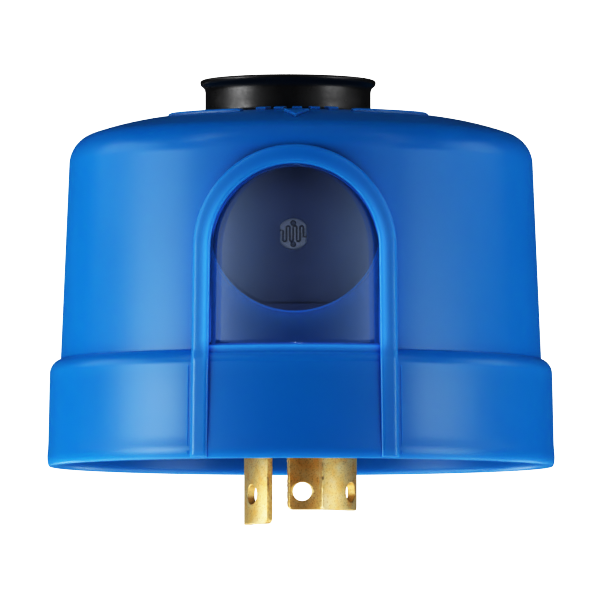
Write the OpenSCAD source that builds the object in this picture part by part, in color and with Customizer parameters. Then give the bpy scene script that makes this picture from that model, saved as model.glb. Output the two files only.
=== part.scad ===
// Twist-lock photocell switch: a domed outdoor light control on a three-blade plug.
// Z is up and the window faces -Y. The origin is on the axis, at the lower face of the gasket.
// Heights inside the modules are measured from the skirt's rim, and seat() lowers them to the origin.

/* [Cover] */
// Outer radius of the skirt at its rim
rim_r = 42; // [41.9:0.05:42.4]
// Radius of the skirt just under its shoulder
skirt_r = 41.5; // [41.4:0.05:41.6]
// Height of the straight part of the skirt
skirt_h = 15.3; // [15.1:0.1:15.5]
// Radius of the dome wall at its foot
dome_foot_r = 39.7; // [39.6:0.05:39.8]
// Radius of the dome wall under the shoulder
dome_top_r = 38.35; // [38.2:0.05:38.4]
// Height of the flat crown above the rim
crown_h = 57.76; // [57.5:0.02:58]
// Radius of the flat of the crown
crown_flat_r = 17.2; // [17:0.1:17.4]
// Radius of the arc that falls from the flat to the shoulder
crown_arc_r = 54; // [52:1:58]
// Radius of the shoulder
shoulder_r = 5.3; // [5.2:0.1:5.5]
// Wall thickness
wall = 2; // [1.9:0.05:2.1]

/* [Window] */
// Half of the clear width of the arch at its spring
arch_in = 13.6; // [13.4:0.05:13.8]
// Half of the outer width of the arch frame at its spring
arch_out = 16.4; // [16.2:0.05:16.6]
// Height of the centre of the arch above the rim
arch_h = 33.8; // [33.5:0.1:34]
// How far the frame stands off the dome
frame_proud = 2.3; // [2.2:0.05:2.4]
// Height of the window sill above the rim
sill_h = 18.3; // [18.2:0.05:18.6]
// Thickness of the pane
pane_t = 1.25; // [1.15:0.05:1.3]
// Radius of the round light opening behind the pane
light_r = 13.85; // [13.7:0.05:13.9]
// Height of the centre of the light opening above the rim
light_h = 37.6; // [37.4:0.1:37.8]

/* [Crown collar] */
// Radius of the collar's wall
collar_r = 13.7; // [13.4:0.1:13.9]
// Radius of its flared lip
collar_lip_r = 14.55; // [14.3:0.05:14.8]
// Height of its top above the rim
collar_top_h = 63.9; // [63:0.1:65]
// Sideways offset of the collar from the axis
collar_x = -2.15; // [-2.5:0.05:0]

/* [Plug] */
// Distance of the gasket's lower face above the rim
rim_drop = 6; // [5.5:0.1:6]
// Outer radius of the blade circle
blade_r = 9.4; // [9.3:0.05:9.5]
// Thickness of a blade
blade_t = 1.45; // [1.3:0.05:1.5]
// Arc covered by the line and load blades, in degrees
blade_arc = 55; // [54:0.5:56]
// Arc covered by the wider neutral blade, in degrees
neutral_arc = 63; // [62:0.5:64]
// Depth of the line blade's tip below the rim
blade_tip = 7.35; // [7.1:0.05:7.6]
// How much higher the load blade sits than the line blade
load_rise = 0.5; // [0:0.1:0.5]
// Depth of the neutral blade's tip below the rim
neutral_tip = 9.6; // [9.4:0.05:9.8]
// Depth of the line blade's hole below the rim
blade_hole = 4.35; // [4.2:0.05:4.5]
// Depth of the neutral blade's hole below the rim
neutral_hole = 4.7; // [4.6:0.05:4.9]
// Diameter of the hole in each blade
blade_hole_d = 3.2; // [3:0.1:3.4]

/* [Base] */
// Radius of the base plate
base_r = 39.5; // [39.3:0.05:39.55]
// Thickness of the base plate
base_t = 3.5; // [3.4:0.1:3.6]
// Thickness of the gasket
gasket_t = 3; // [2.9:0.1:3.1]
// Outer radius of the gasket
gasket_r = 36.5; // [35:0.5:37]
// Inner radius of the gasket
gasket_in_r = 17.4; // [17.3:0.1:18]
// Radius of the circuit board
board_r = 30.5; // [30.2:0.1:31]

/* [Hidden] */
$fn = 96;

blue = "#1e7fd6";
black = "#17181a";
brass = "#d8b060";

// crown geometry: the crown arc runs tangent into the shoulder arc
sh_x = dome_top_r - shoulder_r;
sh_a = asin((sh_x - crown_flat_r) / (crown_arc_r - shoulder_r));
sh_h = crown_h - crown_arc_r + (crown_arc_r - shoulder_r) * cos(sh_a);
skirt_fillet = 2.5;
foot_a = acos((dome_foot_r - (skirt_r - skirt_fillet)) / skirt_fillet);
foot_h = skirt_h + skirt_fillet * sin(foot_a);
ledge_h = skirt_h + 0.1;
base_h = rim_drop + gasket_t;
base_top = base_h + base_t;
board_h = 22;
board_t = 1.6;
board_top = board_h + board_t;
arch_draft = 0.4;
pane_in = -0.95;

// blades: angle of the centre of each, and of its hole from there
neutral_a = 203.9;
line_a = 321.7;
load_a = 78.25;
neutral_turn = 7.6;
line_turn = 11.3;
load_turn = 12;
foot_r = 20.5;
rivet_r = 13.2;
post_r = 26;
post_angles = [45, 200, 318];

function dome_r(h) = dome_foot_r + (dome_top_r - dome_foot_r) * (h - foot_h) / (sh_h - foot_h);
function arc(c, r, a0, a1, n) = [for (i = [0:n]) let (a = a0 + (a1 - a0) * i / n) [c[0] + r * cos(a), c[1] + r * sin(a)]];
// crown and shoulder outline, from the axis to the top of the wall, moved inwards by o
function crown_outline(o) = concat(
    [[0, crown_h - o]],
    arc([crown_flat_r, crown_h - crown_arc_r], crown_arc_r - o, 90, 90 - sh_a, 8),
    [for (i = [1:10]) let (a = 90 - sh_a - (90 - sh_a) * i / 10) [sh_x + (shoulder_r - o) * cos(a), sh_h + (shoulder_r - o) * sin(a)]]);

module seat() { translate([0, 0, -rim_drop]) children(); }
// sheet drawn in x and height, pushed towards the front from y = -from to y = -to
module front(from, to) { translate([0, -from, 0]) rotate([90, 0, 0]) linear_extrude(height = to - from) children(); }
// solid cone that follows the dome wall, moved outwards by o
module cone(o) { translate([0, 0, 10]) cylinder(h = 45, r1 = dome_r(10) + o, r2 = dome_r(55) + o); }
// arch with straight legs that spread slightly towards their foot
module arch(w, bottom) {
    polygon([[-w - arch_draft * (arch_h - bottom) / arch_h, bottom], [w + arch_draft * (arch_h - bottom) / arch_h, bottom], [w, arch_h], [-w, arch_h]]);
    intersection() {
        translate([0, arch_h]) circle(r = w);
        translate([-w - 1, bottom]) square([2 * w + 2, 60]);
    }
}
module ring_sector(r0, r1, h0, h1, a0, a1) {
    rotate([0, 0, a0]) rotate_extrude(angle = a1 - a0) translate([r0, h0]) square([r1 - r0, h1 - h0]);
}

module cover_outside() {
    rotate_extrude() polygon(concat(
        crown_outline(0),
        arc([skirt_r - skirt_fillet, skirt_h], skirt_fillet, foot_a, 0, 6),
        [[rim_r - 0.2, 1.4], [rim_r, 1], [rim_r, 0.3], [rim_r - 0.3, 0], [0, 0]]));
}
module cover_inside() {
    rotate_extrude() polygon(concat(
        crown_outline(wall),
        [[dome_r(ledge_h) - wall, ledge_h], [skirt_r - 1.75, ledge_h], [skirt_r - 1.75, base_h], [rim_r - 2, 0.3], [rim_r - 1.7, 0], [rim_r - 1.7, -1], [0, -1]]));
}
module frame_rib() {
    intersection() {
        front(20, 60) difference() { arch(arch_out, 0.2); arch(arch_in, -1); }
        rotate_extrude() polygon([[30, 0.2], [rim_r + 0.26, 0.2], [rim_r + 0.26, 15.9], [dome_r(17.5) + frame_proud, 17.5], [dome_r(51) + frame_proud, 51], [30, 51]]);
    }
}
module sill() {
    intersection() {
        front(20, 60) translate([-arch_in - 0.5, 14]) square([2 * arch_in + 1, 6]);
        rotate_extrude() polygon([[36, 14], [skirt_r + 0.03, 14], [skirt_r + 0.03, 16.4], [skirt_r - 0.4, 16.95], [skirt_r - 0.5, 17.3], [skirt_r - 0.5, sill_h - 0.3], [skirt_r - 0.8, sill_h], [36, sill_h]]);
    }
}
// raised arrowhead that points at the window, and plain raised bars along the crown
module crown_marks() {
    intersection() {
        rotate_extrude() polygon(concat(crown_outline(-0.5), [[0, sh_h]]));
        translate([0, 0, 50]) linear_extrude(height = 12) polygon([[-2.05, -28], [2.05, -28], [0, -33.2]]);
    }
    intersection() {
        rotate_extrude() polygon(concat(crown_outline(-0.45), [[0, sh_h]]));
        union() {
            for (i = [-2:2]) rotate([0, 0, 270 + i * 7]) translate([21.2, -0.8, 50]) cube([3.4, 1.6, 12]);
            for (s = [0, 1]) mirror([s, 0, 0]) ring_sector(25.6, 27, 50, 62, 290, 322);
            for (a = [30:30:150]) ring_sector(25.6, 27, 50, 62, a - 9, a + 9);
        }
    }
}
module cover() {
    color(blue) seat() difference() {
        union() {
            cover_outside();
            frame_rib();
            sill();
            crown_marks();
        }
        difference() {
            cover_inside();
            // wall behind the window, and the key that finds the base plate's notch
            intersection() { front(20, 60) arch(arch_in + 1.2, 17); difference() { cone(0); cone(-3); } }
            translate([-1, 38.4, base_h]) cube([2, 3, ledge_h - base_h + 1]);
            // snap beads under the base plate
            for (a = [30:60:330]) rotate([0, 0, a - 5]) rotate_extrude(angle = 10)
                polygon([[41, 7], [skirt_r - 1.7, 7], [base_r - 0.45, 8.4], [base_r - 0.45, base_h - 0.1], [41, base_h]]);
        }
        // seat of the pane, the deeper corners below the light opening, and the opening itself
        difference() { front(20, 60) arch(arch_in, sill_h); cone(pane_in); }
        difference() {
            front(20, 60) difference() { arch(arch_in - 0.3, sill_h + 0.3); translate([0, light_h]) circle(r = light_r + 0.5); }
            cone(-1.5);
        }
        front(20, 60) intersection() { arch(arch_in - 0.3, sill_h + 0.3); translate([0, light_h]) circle(r = light_r); }
    }
}

module window_lens() {
    color("#bcd4f0", 0.5) seat() intersection() {
        front(20, 60) arch(arch_in - 0.1, sill_h + 0.1);
        difference() { cone(pane_in + pane_t); cone(pane_in); }
    }
}

module crown_collar() {
    color(black) seat() translate([collar_x, 0, 0]) rotate_extrude() polygon(concat(
        [[0, crown_h]],
        arc([collar_r - 0.9, crown_h + 0.9], 0.9, -90, 0, 4),
        [[collar_r, collar_top_h - 1.9]],
        [for (i = [1:4]) let (t = i / 4) [collar_r + (collar_lip_r - collar_r) * (1 - cos(90 * t)), collar_top_h - 1.9 + 1.1 * sin(90 * t)]],
        arc([collar_lip_r - 0.4, collar_top_h - 0.4], 0.4, 0, 90, 3),
        [[collar_r - 2, collar_top_h], [collar_r - 2.6, collar_top_h - 0.6], [0, collar_top_h - 0.6]]));
}

module base_plate() {
    color("#2c2f33") seat() difference() {
        union() {
            translate([0, 0, base_h]) cylinder(h = base_t, r = base_r);
            difference() {
                translate([0, 0, base_top - 0.1]) cylinder(h = ledge_h - base_top + 0.1, r = base_r);
                translate([0, 0, base_top - 1]) cylinder(h = 10, r = base_r - 1.9);
            }
            // ridge that centres the gasket
            difference() {
                translate([0, 0, base_h - 1.2]) cylinder(h = 2, r = gasket_in_r - 0.1);
                translate([0, 0, base_h - 2]) cylinder(h = 4, r = gasket_in_r - 0.8);
            }
            // posts under the circuit board
            for (a = post_angles) rotate([0, 0, a]) translate([post_r, 0, base_top - 0.1]) cylinder(h = board_h - base_top + 0.1, r = 3.2);
            // ribs that brace the posts
            for (a = post_angles) rotate([0, 0, a]) translate([post_r + 2, -0.8, base_top - 0.1]) cube([base_r - 1.5 - post_r - 2, 1.6, 2.6]);
        }
        for (b = [[neutral_a, neutral_arc], [line_a, blade_arc], [load_a, blade_arc]])
            ring_sector(blade_r - blade_t - 0.05, blade_r + 0.05, base_h - 3, base_top + 3, b[0] - b[1] / 2 - 0.6, b[0] + b[1] / 2 + 0.6);
        for (b = [neutral_a, line_a, load_a]) rotate([0, 0, b]) translate([rivet_r, 0, base_h - 3]) cylinder(h = 12, r = 1.6);
        for (a = post_angles) rotate([0, 0, a]) translate([post_r, 0, base_top]) cylinder(h = 20, r = 1.15);
        translate([-1.2, 38.2, base_h - 1]) cube([2.4, 4, 12]);
    }
}

module gasket() {
    color("#3d4043") seat() difference() {
        translate([0, 0, rim_drop]) cylinder(h = gasket_t, r = gasket_r);
        translate([0, 0, rim_drop - 1]) cylinder(h = gasket_t + 2, r = gasket_in_r);
    }
}

// curved blade with a riveted foot on top of the base plate, turned to its place round the axis
module blade(a, width, tip, hole, turn) {
    half = width / 2;
    rotate([0, 0, a]) difference() {
        union() {
            ring_sector(blade_r - blade_t, blade_r, -tip, base_top + 1, -half, half);
            ring_sector(blade_r - 0.6, foot_r, base_top, base_top + 1.4, -14, 14);
        }
        rotate([0, 0, turn]) translate([blade_r - 4, 0, -hole]) rotate([0, 90, 0]) cylinder(h = 8, d = blade_hole_d);
        // corners cut off the tip
        for (e = [-half, half]) rotate([0, 0, e]) translate([blade_r, 0, -tip]) rotate([45, 0, 0]) cube([6, 1.3, 1.3], center = true);
        translate([rivet_r, 0, base_top - 1]) cylinder(h = 4, r = 1.6);
    }
}
module neutral_blade() { color(brass) seat() blade(neutral_a, neutral_arc, neutral_tip, neutral_hole, neutral_turn); }
module line_blade() { color(brass) seat() blade(line_a, blade_arc, blade_tip, blade_hole, line_turn); }
module load_blade() { color(brass) seat() blade(load_a, blade_arc, blade_tip - load_rise, blade_hole - load_rise, load_turn); }

module blade_rivets() {
    color("#c9a24e") seat() for (b = [neutral_a, line_a, load_a]) rotate([0, 0, b]) translate([rivet_r, 0, 0])
        rotate_extrude() polygon([[0.8, base_h - 0.8], [2.3, base_h - 0.8], [2.6, base_h - 0.4], [2.6, base_h], [1.55, base_h],
            [1.55, base_top + 1.4], [2.6, base_top + 1.4], [2.6, base_top + 1.8], [2.2, base_top + 2.3], [0, base_top + 2.5], [0, base_h + 1], [0.8, base_h + 0.8]]);
}

// lead positions of the parts that stand on the board
module board_drills() {
    for (a = post_angles) rotate([0, 0, a]) translate([post_r, 0, board_h - 1]) cylinder(h = 4, r = 1.4);
    for (b = [neutral_a, line_a, load_a]) wire_end(b) translate([0, 0, board_h - 1]) cylinder(h = 4, r = 1);
    translate([sensor_x, -22, board_h - 1]) cylinder(h = 4, r = 0.35);
    translate([sensor_x, -20, board_h - 1]) cylinder(h = 4, r = 0.35);
}
module circuit_board() {
    color("#1f5a3a") seat() difference() {
        translate([0, 0, board_h]) cylinder(h = board_t, r = board_r);
        board_drills();
        translate([-4, board_r - 1.6, board_h - 1]) cube([8, 4, 4]);
    }
}
module board_screws() {
    color("#b9bcc0") seat() for (a = post_angles) rotate([0, 0, a]) translate([post_r, 0, 0]) difference() {
        rotate_extrude() polygon([[0, board_top - 8], [0.4, board_top - 8], [1.1, board_top - 7], [1.1, board_top], [2.5, board_top], [2.5, board_top + 0.7], [1.9, board_top + 1.4], [0, board_top + 1.6]]);
        for (t = [0, 90]) rotate([0, 0, t]) translate([-1.5, -0.3, board_top + 0.6]) cube([3, 0.6, 3]);
    }
}

sensor_x = -0.5;
sensor_y = -26;
sensor_h = 36.8;
module sensor_holder() {
    color("#16203a") seat() difference() {
        intersection() {
            front(24.5, 50) arch(15.4, board_top);
            cone(-3.1);
        }
        front(26, 60) arch(14, board_top + 1.4);
        for (s = [-1.7, 1.7]) translate([sensor_x, -20, sensor_h + s]) rotate([90, 0, 0]) cylinder(h = 10, r = 0.35);
    }
}
module light_sensor() {
    color("#86868a") seat() intersection() {
        translate([sensor_x, sensor_y, sensor_h]) rotate([90, 0, 0]) difference() {
            cylinder(h = 2, d = 5.1);
            for (s = [-1.7, 1.7]) translate([0, s, -1]) cylinder(h = 2, r = 0.25);
        }
        translate([sensor_x - 2.15, -40, 20]) cube([4.3, 30, 30]);
    }
}
// one lead: out of the back of the sensor, a quarter bend, and down through the board
module sensor_lead(h, y) {
    r = 1.2;
    translate([sensor_x, 0, 0]) {
        translate([0, sensor_y - 0.9, h]) rotate([-90, 0, 0]) cylinder(h = y - r - sensor_y + 0.9, r = 0.25);
        translate([0, y - r, h - r]) rotate([90, 0, 90]) rotate_extrude(angle = 90) translate([r, 0]) circle(r = 0.25);
        translate([0, y, board_h - 1.4]) cylinder(h = h - r - board_h + 1.4, r = 0.25);
    }
}
module sensor_leads() {
    color("#c8c9cc") seat() { sensor_lead(sensor_h - 1.7, -22); sensor_lead(sensor_h + 1.7, -20); }
}

module chamfered_box(l, w, h, c) {
    intersection() {
        translate([-l / 2, -w / 2, 0]) cube([l, w, h]);
        linear_extrude(height = h) polygon([[-l / 2 + c, -w / 2], [l / 2 - c, -w / 2], [l / 2, -w / 2 + c], [l / 2, w / 2 - c], [l / 2 - c, w / 2], [-l / 2 + c, w / 2], [-l / 2, w / 2 - c], [-l / 2, -w / 2 + c]]);
    }
}
module relay() {
    color("#2a4f93") seat() translate([-14.5, 9.5, board_top]) difference() {
        union() {
            chamfered_box(19, 15.4, 15.2, 0.6);
            translate([6.5, 4.5, 15.1]) cylinder(h = 0.5, r = 0.9);
        }
        for (s = [-1, 1]) translate([-10, s * 7.7 - 0.2, 1]) cube([20, 0.4, 0.6]);
    }
}
module film_capacitor() {
    color("#b9a43c") seat() translate([0, 24.6, board_top]) chamfered_box(21.6, 7.4, 16.5, 0.7);
}
module electrolytic_capacitor() {
    color("#20242c") seat() translate([8, 9, board_top]) rotate_extrude() polygon([[0, 0], [3.7, 0], [4, 0.4], [4, 1.2], [3.75, 1.6], [3.75, 1.9], [4, 2.3], [4, 12.1], [3.6, 12.5], [3.2, 12.5], [3, 12.3], [0, 12.3]]);
}
module surge_varistor() {
    color("#2f6fb0") seat() translate([18.5, 8, board_top + 8.6]) {
        rotate([0, 90, 0]) rotate_extrude() polygon([[0, -2.1], [6.2, -2.1], [6.8, -1.5], [7, -0.6], [7, 0.6], [6.8, 1.5], [6.2, 2.1], [0, 2.1]]);
        for (s = [-1, 1]) translate([s * 0.8, s * 3.7, -8.6]) cylinder(h = 6, r = 0.4);
    }
}
module bridge_rectifier() {
    color("#1b1c1f") seat() translate([-16.4, -8, board_top]) {
        difference() {
            translate([0, 0, 0.5]) chamfered_box(8.4, 6.4, 3.2, 0.4);
            translate([-4.3, 0, 3.2]) cylinder(h = 2, r = 0.9);
        }
        for (x = [-2.6, 2.6], y = [-1, 1]) translate([x - 0.4, y * 3.6 - 0.4, 0]) cube([0.8, 0.8, 1.6]);
    }
}
module transistor() {
    color("#1d1e20") seat() translate([4, -6, board_top]) {
        translate([0, 0, 3]) intersection() { cylinder(h = 4.6, r = 2.4); translate([-3, -1.2, -1]) cube([6, 4, 8]); }
        for (x = [-1.27, 0, 1.27]) translate([x - 0.22, -0.22, 0]) cube([0.45, 0.45, 3.4]);
    }
}
// axial part lying on the board: body of revolution and two bent leads
module axial(l, r, pitch, lead) {
    lift = r + 0.3;
    translate([0, 0, board_top]) {
        translate([0, 0, lift]) rotate([0, 90, 0]) rotate_extrude() polygon([[0, -l / 2], [r - 0.2, -l / 2], [r, -l / 2 + 0.3], [r, l / 2 - 0.3], [r - 0.2, l / 2], [0, l / 2]]);
        translate([-pitch / 2 + lead * 2, 0, lift]) rotate([0, 90, 0]) cylinder(h = pitch - lead * 4, r = lead);
        for (s = [0, 1]) mirror([s, 0, 0]) {
            translate([pitch / 2 - lead * 2, 0, lift - lead * 2]) rotate([90, 0, 0]) rotate_extrude(angle = 90) translate([lead * 2, 0]) circle(r = lead);
            translate([pitch / 2, 0, 0]) cylinder(h = lift - lead * 2, r = lead);
        }
    }
}
module zener_diode() { color("#b5482a") seat() translate([-4, -13, 0]) axial(4.2, 1.05, 9, 0.25); }
module flyback_diode() { color("#222326") seat() translate([-11, -1.4, 0]) axial(5.2, 1.35, 10.5, 0.38); }
module resistors() {
    color("#c7a878") seat() for (y = [-1.5, -9, -12.4]) translate([15, y, 0]) axial(6.6, 1.2, 11, 0.3);
}

// wire from a blade's foot to the board: up, across and up again, with two round bends
wire_bend = 2.5;
wire_run = 1.5;
module wire_start(a) { rotate([0, 0, a]) translate([foot_r - 2, 0, 0]) children(); }
module wire_end(a) { rotate([0, 0, a]) translate([foot_r - 2, 2 * wire_bend + wire_run, 0]) children(); }
module wire(a) {
    wr = 0.85;
    h0 = base_top + 1.4;
    rise = (board_h - h0 - 2 * wire_bend) / 2;
    wire_start(a) {
        translate([0, 0, h0]) cylinder(h = rise, r = wr);
        translate([0, wire_bend, h0 + rise]) rotate([90, 0, 90]) rotate([0, 0, 90]) rotate_extrude(angle = 90) translate([wire_bend, 0]) circle(r = wr);
        translate([0, wire_bend, h0 + rise + wire_bend]) rotate([-90, 0, 0]) cylinder(h = wire_run, r = wr);
        translate([0, wire_bend + wire_run, board_h - rise]) rotate([90, 0, 90]) rotate([0, 0, -90]) rotate_extrude(angle = 90) translate([wire_bend, 0]) circle(r = wr);
        translate([0, 2 * wire_bend + wire_run, board_h - rise]) cylinder(h = rise + board_t + 0.5, r = wr);
    }
}
module neutral_wire() { color("#d8d8d4") seat() wire(neutral_a); }
module line_wire() { color("#1a1a1c") seat() wire(line_a); }
module load_wire() { color("#b3241f") seat() wire(load_a); }

cover();
window_lens();
crown_collar();
base_plate();
gasket();
neutral_blade();
line_blade();
load_blade();
blade_rivets();
circuit_board();
board_screws();
sensor_holder();
light_sensor();
sensor_leads();
relay();
film_capacitor();
electrolytic_capacitor();
surge_varistor();
bridge_rectifier();
transistor();
zener_diode();
flyback_diode();
resistors();
neutral_wire();
line_wire();
load_wire();
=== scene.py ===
"""Looks of a twist-lock photocell switch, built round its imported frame.

Shapes are modelled in millimetres, with heights measured from the rim of the skirt, and go out in metres
in the frame of the part, whose origin is on the axis at the gasket's lower face.
"""
import math

import bmesh
import bpy
import numpy as np
from mathutils import Matrix, Vector


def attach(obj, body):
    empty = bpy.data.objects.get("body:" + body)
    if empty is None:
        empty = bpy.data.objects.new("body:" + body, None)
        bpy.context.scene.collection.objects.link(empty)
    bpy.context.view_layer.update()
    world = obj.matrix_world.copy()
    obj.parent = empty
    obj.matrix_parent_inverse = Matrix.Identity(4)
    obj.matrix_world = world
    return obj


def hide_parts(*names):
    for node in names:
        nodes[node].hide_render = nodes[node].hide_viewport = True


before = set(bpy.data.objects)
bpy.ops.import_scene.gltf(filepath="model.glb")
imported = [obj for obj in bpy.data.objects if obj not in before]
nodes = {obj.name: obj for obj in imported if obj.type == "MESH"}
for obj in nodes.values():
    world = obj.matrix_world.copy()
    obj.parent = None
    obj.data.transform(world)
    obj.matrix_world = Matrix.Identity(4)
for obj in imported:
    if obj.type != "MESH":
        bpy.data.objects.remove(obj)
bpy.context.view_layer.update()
DROP = 6.0
scene = bpy.context.scene
RNG = np.random.default_rng(7)

# ------------------------------------------------------------------ mesh tools


def new_object(name, verts, faces):
    me = bpy.data.meshes.new(name)
    me.from_pydata([tuple(map(float, v)) for v in verts], [], [tuple(f) for f in faces])
    bm = bmesh.new()
    bm.from_mesh(me)
    bmesh.ops.remove_doubles(bm, verts=bm.verts, dist=1e-4)
    bmesh.ops.dissolve_degenerate(bm, dist=1e-5, edges=bm.edges)
    bmesh.ops.recalc_face_normals(bm, faces=bm.faces)
    if bm.calc_volume(signed=True) < 0:
        bmesh.ops.reverse_faces(bm, faces=bm.faces)
    bm.to_mesh(me)
    bm.free()
    ob = bpy.data.objects.new(name, me)
    scene.collection.objects.link(ob)
    return ob


def drop(ob):
    me = ob.data
    bpy.data.objects.remove(ob)
    if me.users == 0:
        bpy.data.meshes.remove(me)


def applied(ob):
    """Replaces the object's mesh by what its modifiers make of it."""
    dg = bpy.context.evaluated_depsgraph_get()
    dg.update()
    me = bpy.data.meshes.new_from_object(ob.evaluated_get(dg))
    ob.modifiers.clear()
    old, ob.data = ob.data, me
    bpy.data.meshes.remove(old)
    return ob


def boolean(a, b, op):
    m = a.modifiers.new("b", "BOOLEAN")
    m.operation, m.solver, m.object = op, "MANIFOLD", b
    applied(a)
    drop(b)
    return a


def bevelled(ob, width, segments=3, angle=50):
    m = ob.modifiers.new("bevel", "BEVEL")
    m.width, m.segments, m.limit_method, m.angle_limit = width, segments, "ANGLE", math.radians(angle)
    m.use_clamp_overlap = True
    return applied(ob)


def to_metres(ob):
    ob.data.transform(Matrix.Translation((0, 0, -DROP * 0.001)) @ Matrix.Scale(0.001, 4))
    return ob


def smooth(ob, angle=35):
    ob.data.shade_smooth()
    ob.data.set_sharp_from_angle(angle=math.radians(angle))
    return ob


def piece(ob, name, material, slot, *replaced, angle=35):
    """Last step of a modelled piece: metres, smooth shading, finish, its place under the root body, and hiding the
    imported parts it replaces.
    """
    to_metres(ob)
    smooth(ob, angle)
    ob.name = ob.data.name = name
    ob.data.materials.clear()
    ob.data.materials.append(material)
    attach(ob, "root")
    if replaced:
        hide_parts(*replaced)
    return ob


def arc(cx, cy, r, a0, a1, n, first=True):
    return [
        (cx + r * math.cos(math.radians(a0 + (a1 - a0) * i / n)), cy + r * math.sin(math.radians(a0 + (a1 - a0) * i / n)))
        for i in range(0 if first else 1, n + 1)
    ]


def revolve(name, profile, n=240, x=0.0, y=0.0, turn=0.0):
    """Closed solid of revolution; profile runs from the axis to the axis, or is a loop off the axis."""
    verts, faces, rings = [], [], []
    for r, h in profile:
        if r < 1e-6:
            rings.append([len(verts)])
            verts.append((x, y, h))
        else:
            rings.append(list(range(len(verts), len(verts) + n)))
            for i in range(n):
                a = turn + 2 * math.pi * i / n
                verts.append((x + r * math.cos(a), y + r * math.sin(a), h))
    pairs = list(zip(rings, rings[1:]))
    if profile[0][0] > 1e-6:
        pairs.append((rings[-1], rings[0]))
    for a, b in pairs:
        for i in range(n):
            j = (i + 1) % n
            if len(a) == 1 and len(b) == 1:
                break
            if len(a) == 1:
                faces.append((a[0], b[i], b[j]))
            elif len(b) == 1:
                faces.append((a[i], b[0], a[j]))
            else:
                faces.append((a[i], b[i], b[j], a[j]))
    return new_object(name, verts, faces)


def sweep(name, rings, closed=False):
    """Closed tube through rings of equal point count, with flat end caps unless it closes on itself."""
    verts = [p for ring in rings for p in ring]
    m, faces = len(rings[0]), []
    count = len(rings)
    for i in range(count if closed else count - 1):
        a, b = i * m, ((i + 1) % count) * m
        for k in range(m):
            l = (k + 1) % m
            faces.append((a + k, a + l, b + l, b + k))
    if not closed:
        faces.append(tuple(range(m)))
        faces.append(tuple(range((count - 1) * m, count * m))[::-1])
    return new_object(name, verts, faces)


# ------------------------------------------------------------------ shape of the cover

SH_X, SH_R, CROWN_H, FLAT_R, CROWN_R = 33.05, 5.3, 57.76, 17.2, 54.0
SH_A = math.degrees(math.asin((SH_X - FLAT_R) / (CROWN_R - SH_R)))
SH_H = CROWN_H - CROWN_R + (CROWN_R - SH_R) * math.cos(math.radians(SH_A))
FOOT_H, FOOT_R, TOP_R = 17.7, 39.7, 38.35
ARCH_H, ARCH_IN, ARCH_MID = 33.8, 13.6, 15.0
SILL_H, LIGHT_R, LIGHT_H = 18.3, 13.85, 37.6


def dome_r(h):
    return FOOT_R + (TOP_R - FOOT_R) * (h - FOOT_H) / (SH_H - FOOT_H)


def crown_outline(o, flat=True):
    pts = [(0, CROWN_H - o)] + ([(6, CROWN_H - o), (12, CROWN_H - o)] if flat else [])
    pts += arc(FLAT_R, CROWN_H - CROWN_R, CROWN_R - o, 90, 90 - SH_A, 16)
    pts += arc(SH_X, SH_H, SH_R - o, 90 - SH_A, 0, 18, first=False)
    return pts


def crown_z(r):
    """Height of the crown's surface at a distance from the axis."""
    if r < FLAT_R:
        return CROWN_H
    if r < SH_X + SH_R * math.sin(math.radians(SH_A)):
        return CROWN_H - CROWN_R + math.sqrt(CROWN_R**2 - (r - FLAT_R) ** 2)
    return SH_H + math.sqrt(max(0.0, SH_R**2 - (r - SH_X) ** 2))


def step(x, a, b):
    t = min(1.0, max(0.0, (x - a) / (b - a)))
    return t * t * (3 - 2 * t)


def half_width(w, h):
    """Half of the width of an arch outline of spring half-width w, whose legs spread a little towards the foot."""
    if h <= ARCH_H:
        return w + 0.4 * (ARCH_H - h) / ARCH_H
    return math.sqrt(max(0.0, w * w - (h - ARCH_H) ** 2))


def arch_rows(w, bottom, n_leg=14, n_top=22):
    rows = [bottom + (ARCH_H - bottom) * i / n_leg for i in range(n_leg + 1)]
    rows += [ARCH_H + w * math.sin(math.radians(90 * i / n_top)) for i in range(1, n_top + 1)]
    return rows


def arch_slab(name, w, bottom, r_in, r_out, nu=36, flat_out=None):
    """Solid under an arch outline between two surfaces that follow the dome wall, or out to a flat plane."""
    rows, sheets = arch_rows(w, bottom), []
    for side in (0, 1):
        sheet = []
        for h in rows:
            hw = half_width(w, h)
            line = []
            for i in range(nu + 1):
                x = hw * math.sin(math.pi / 2 * (2 * i / nu - 1)) if hw > 1e-6 else 0.0
                if side and flat_out is not None:
                    y = -flat_out
                else:
                    y = -math.sqrt(((r_out if side else r_in)(h)) ** 2 - x * x)
                line.append((x, y, h))
            sheet.append(line)
        sheets.append(sheet)
    verts, faces, idx = [], [], []
    for sheet in sheets:
        grid = []
        for line in sheet:
            grid.append(list(range(len(verts), len(verts) + len(line))))
            verts += line
        idx.append(grid)
    nr = len(rows)
    for g in idx:
        for j in range(nr - 1):
            for i in range(nu):
                faces.append((g[j][i], g[j][i + 1], g[j + 1][i + 1], g[j + 1][i]))
    a, b = idx
    for j in range(nr - 1):
        faces.append((a[j][0], a[j + 1][0], b[j + 1][0], b[j][0]))
        faces.append((a[j][nu], b[j][nu], b[j + 1][nu], a[j + 1][nu]))
    for i in range(nu):
        faces.append((a[0][i], b[0][i], b[0][i + 1], a[0][i + 1]))
    return new_object(name, verts, faces)


def rib_r(h):
    """Radius of the front of the window frame: upright on the skirt, then back with the dome."""
    return 42.26 + (dome_r(max(h, 17.0)) + 2.3 - 42.26) * step(h, 15.9, 17.5)


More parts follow.
